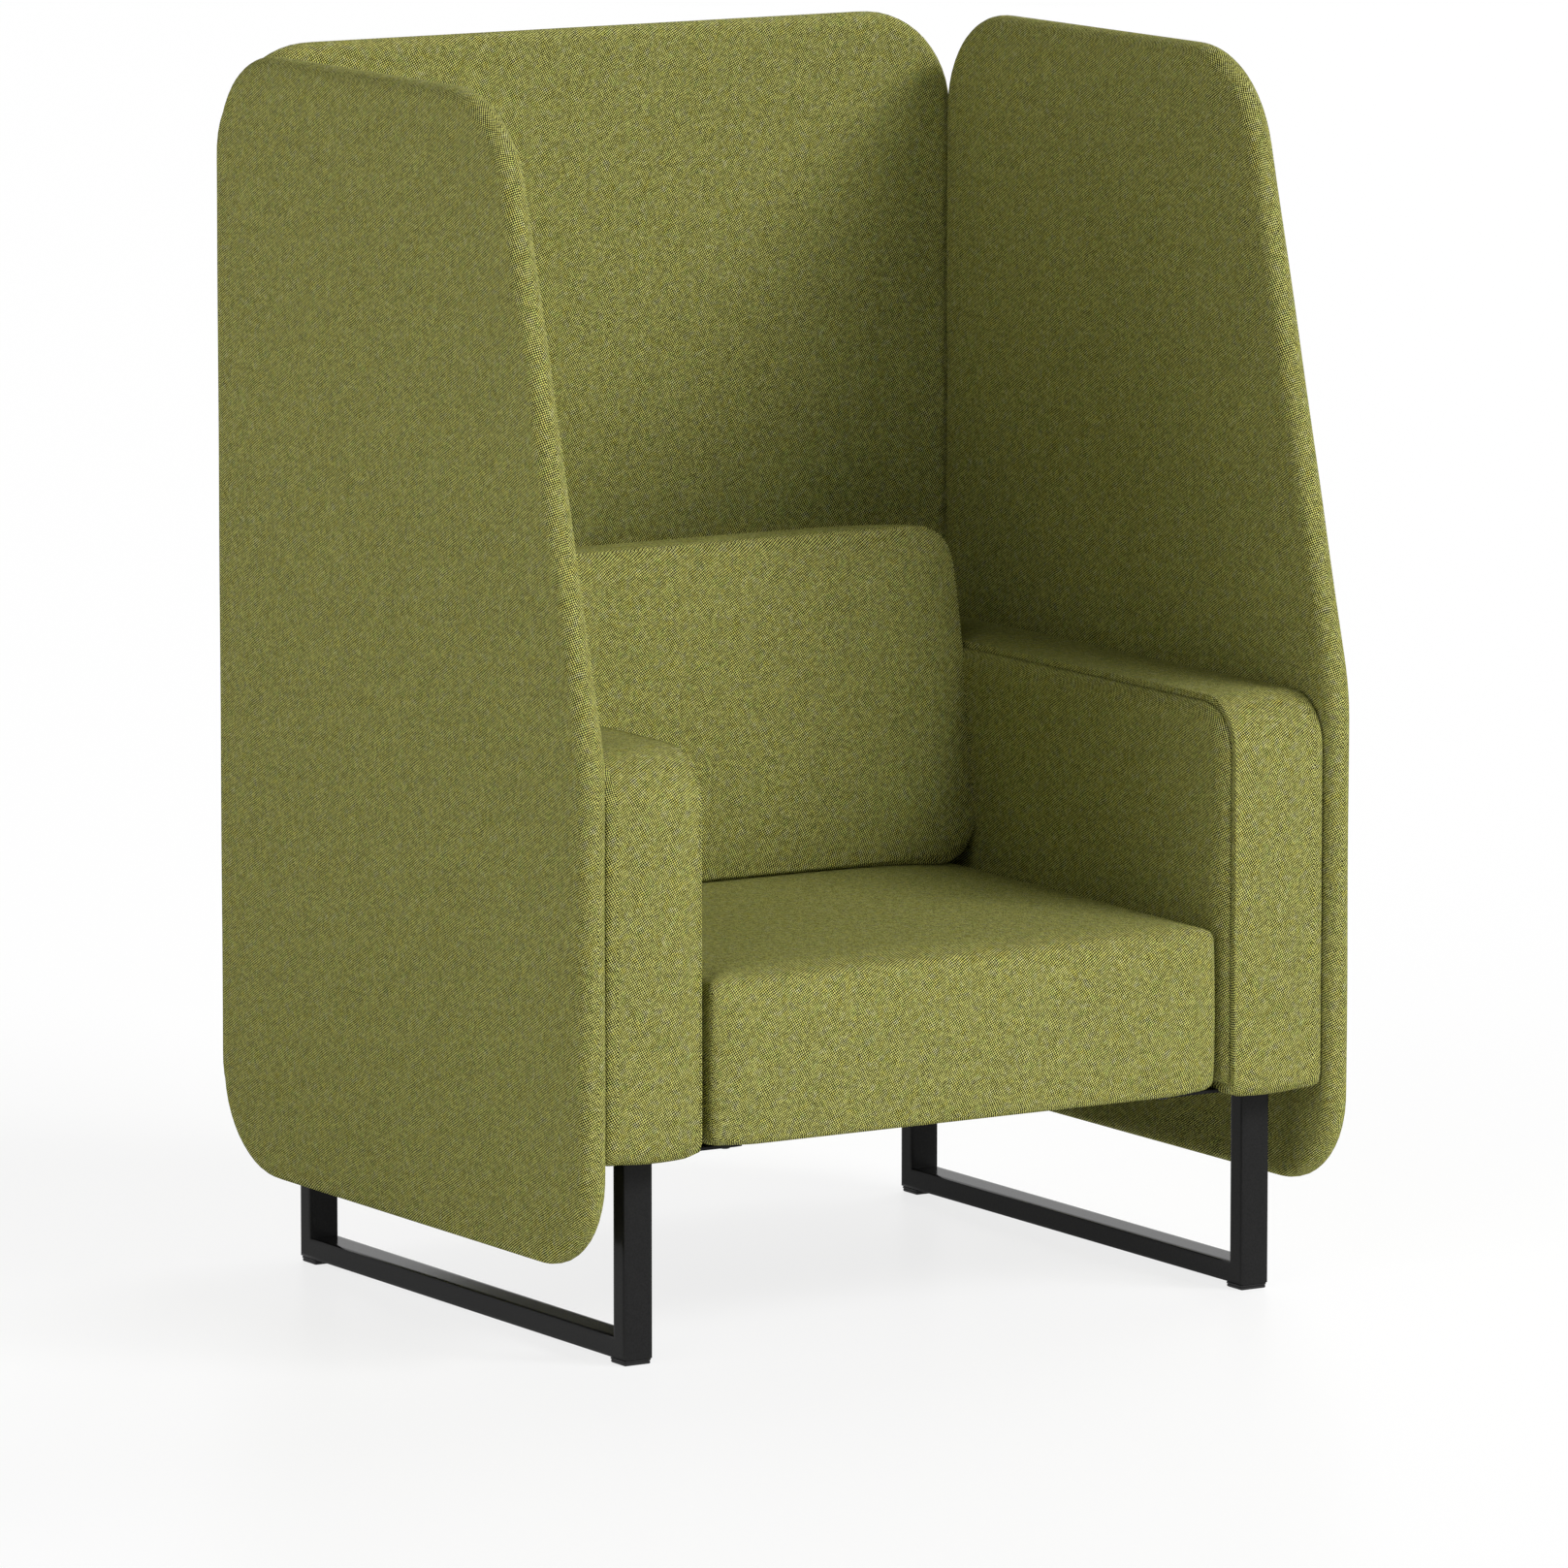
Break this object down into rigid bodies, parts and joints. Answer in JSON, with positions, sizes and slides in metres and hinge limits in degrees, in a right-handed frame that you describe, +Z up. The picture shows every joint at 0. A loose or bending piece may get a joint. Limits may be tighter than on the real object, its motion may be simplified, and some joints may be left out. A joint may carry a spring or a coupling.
{
  "type": "privacy booth armchair",
  "caption": "Upholstered single-seat privacy booth: box arms, seat and leaning back cushion inside tall padded side and back screens, on rectangular-tube sled legs.",
  "frame": {"origin": "on the floor, in the middle of the booth's plan", "axes": "+Z up, +Y towards the back screen, +X to the right for someone facing the booth's open front"},
  "size_m": [1.0486, 0.8753, 1.445],
  "materials": {
    "upholstery": "woven wool cloth in yellow-green and charcoal yarns over foam",
    "plywood": "raw birch plywood",
    "black_steel": "satin black powder coat on steel",
    "zinc_bolts": "zinc-plated steel",
    "glide_nylon": "moulded black nylon",
    "dust_cloth": "black non-woven cloth"
  },
  "bodies": {
    "root": {"seat_cushion": "upholstery", "seat_deck": "plywood", "seat_dust_cloth": "dust_cloth", "back_cushion": "upholstery", "back_board": "plywood", "back_screen_core": "plywood", "back_screen_front_pad": "upholstery", "back_screen_rear_pad": "upholstery", "left_screen_core": "plywood", "left_screen_inner_pad": "upholstery", "left_screen_outer_pad": "upholstery", "left_arm_pad": "upholstery", "left_arm_carcass": "plywood", "left_arm_base_board": "plywood", "left_front_leg": "black_steel", "left_rear_leg": "black_steel", "left_floor_rail": "black_steel", "left_front_glide": "glide_nylon", "left_rear_glide": "glide_nylon", "left_front_link_plate": "black_steel", "left_rear_link_plate": "black_steel", "left_front_arm_bolt": "black_steel", "left_rear_arm_bolt": "black_steel", "left_front_seat_bolt": "black_steel", "left_rear_seat_bolt": "black_steel", "left_front_screen_bolt": "zinc_bolts", "left_rear_screen_bolt": "zinc_bolts", "left_lower_back_screen_bolt": "zinc_bolts", "left_upper_back_screen_bolt": "zinc_bolts", "left_lower_back_bolt": "zinc_bolts", "left_upper_back_bolt": "zinc_bolts", "right_screen_core": "plywood", "right_screen_inner_pad": "upholstery", "right_screen_outer_pad": "upholstery", "right_arm_pad": "upholstery", "right_arm_carcass": "plywood", "right_arm_base_board": "plywood", "right_front_leg": "black_steel", "right_rear_leg": "black_steel", "right_floor_rail": "black_steel", "right_front_glide": "glide_nylon", "right_rear_glide": "glide_nylon", "right_front_link_plate": "black_steel", "right_rear_link_plate": "black_steel", "right_front_arm_bolt": "black_steel", "right_rear_arm_bolt": "black_steel", "right_front_seat_bolt": "black_steel", "right_rear_seat_bolt": "black_steel", "right_front_screen_bolt": "zinc_bolts", "right_rear_screen_bolt": "zinc_bolts", "right_lower_back_screen_bolt": "zinc_bolts", "right_upper_back_screen_bolt": "zinc_bolts", "right_lower_back_bolt": "zinc_bolts", "right_upper_back_bolt": "zinc_bolts"}
  },
  "joints": []
}
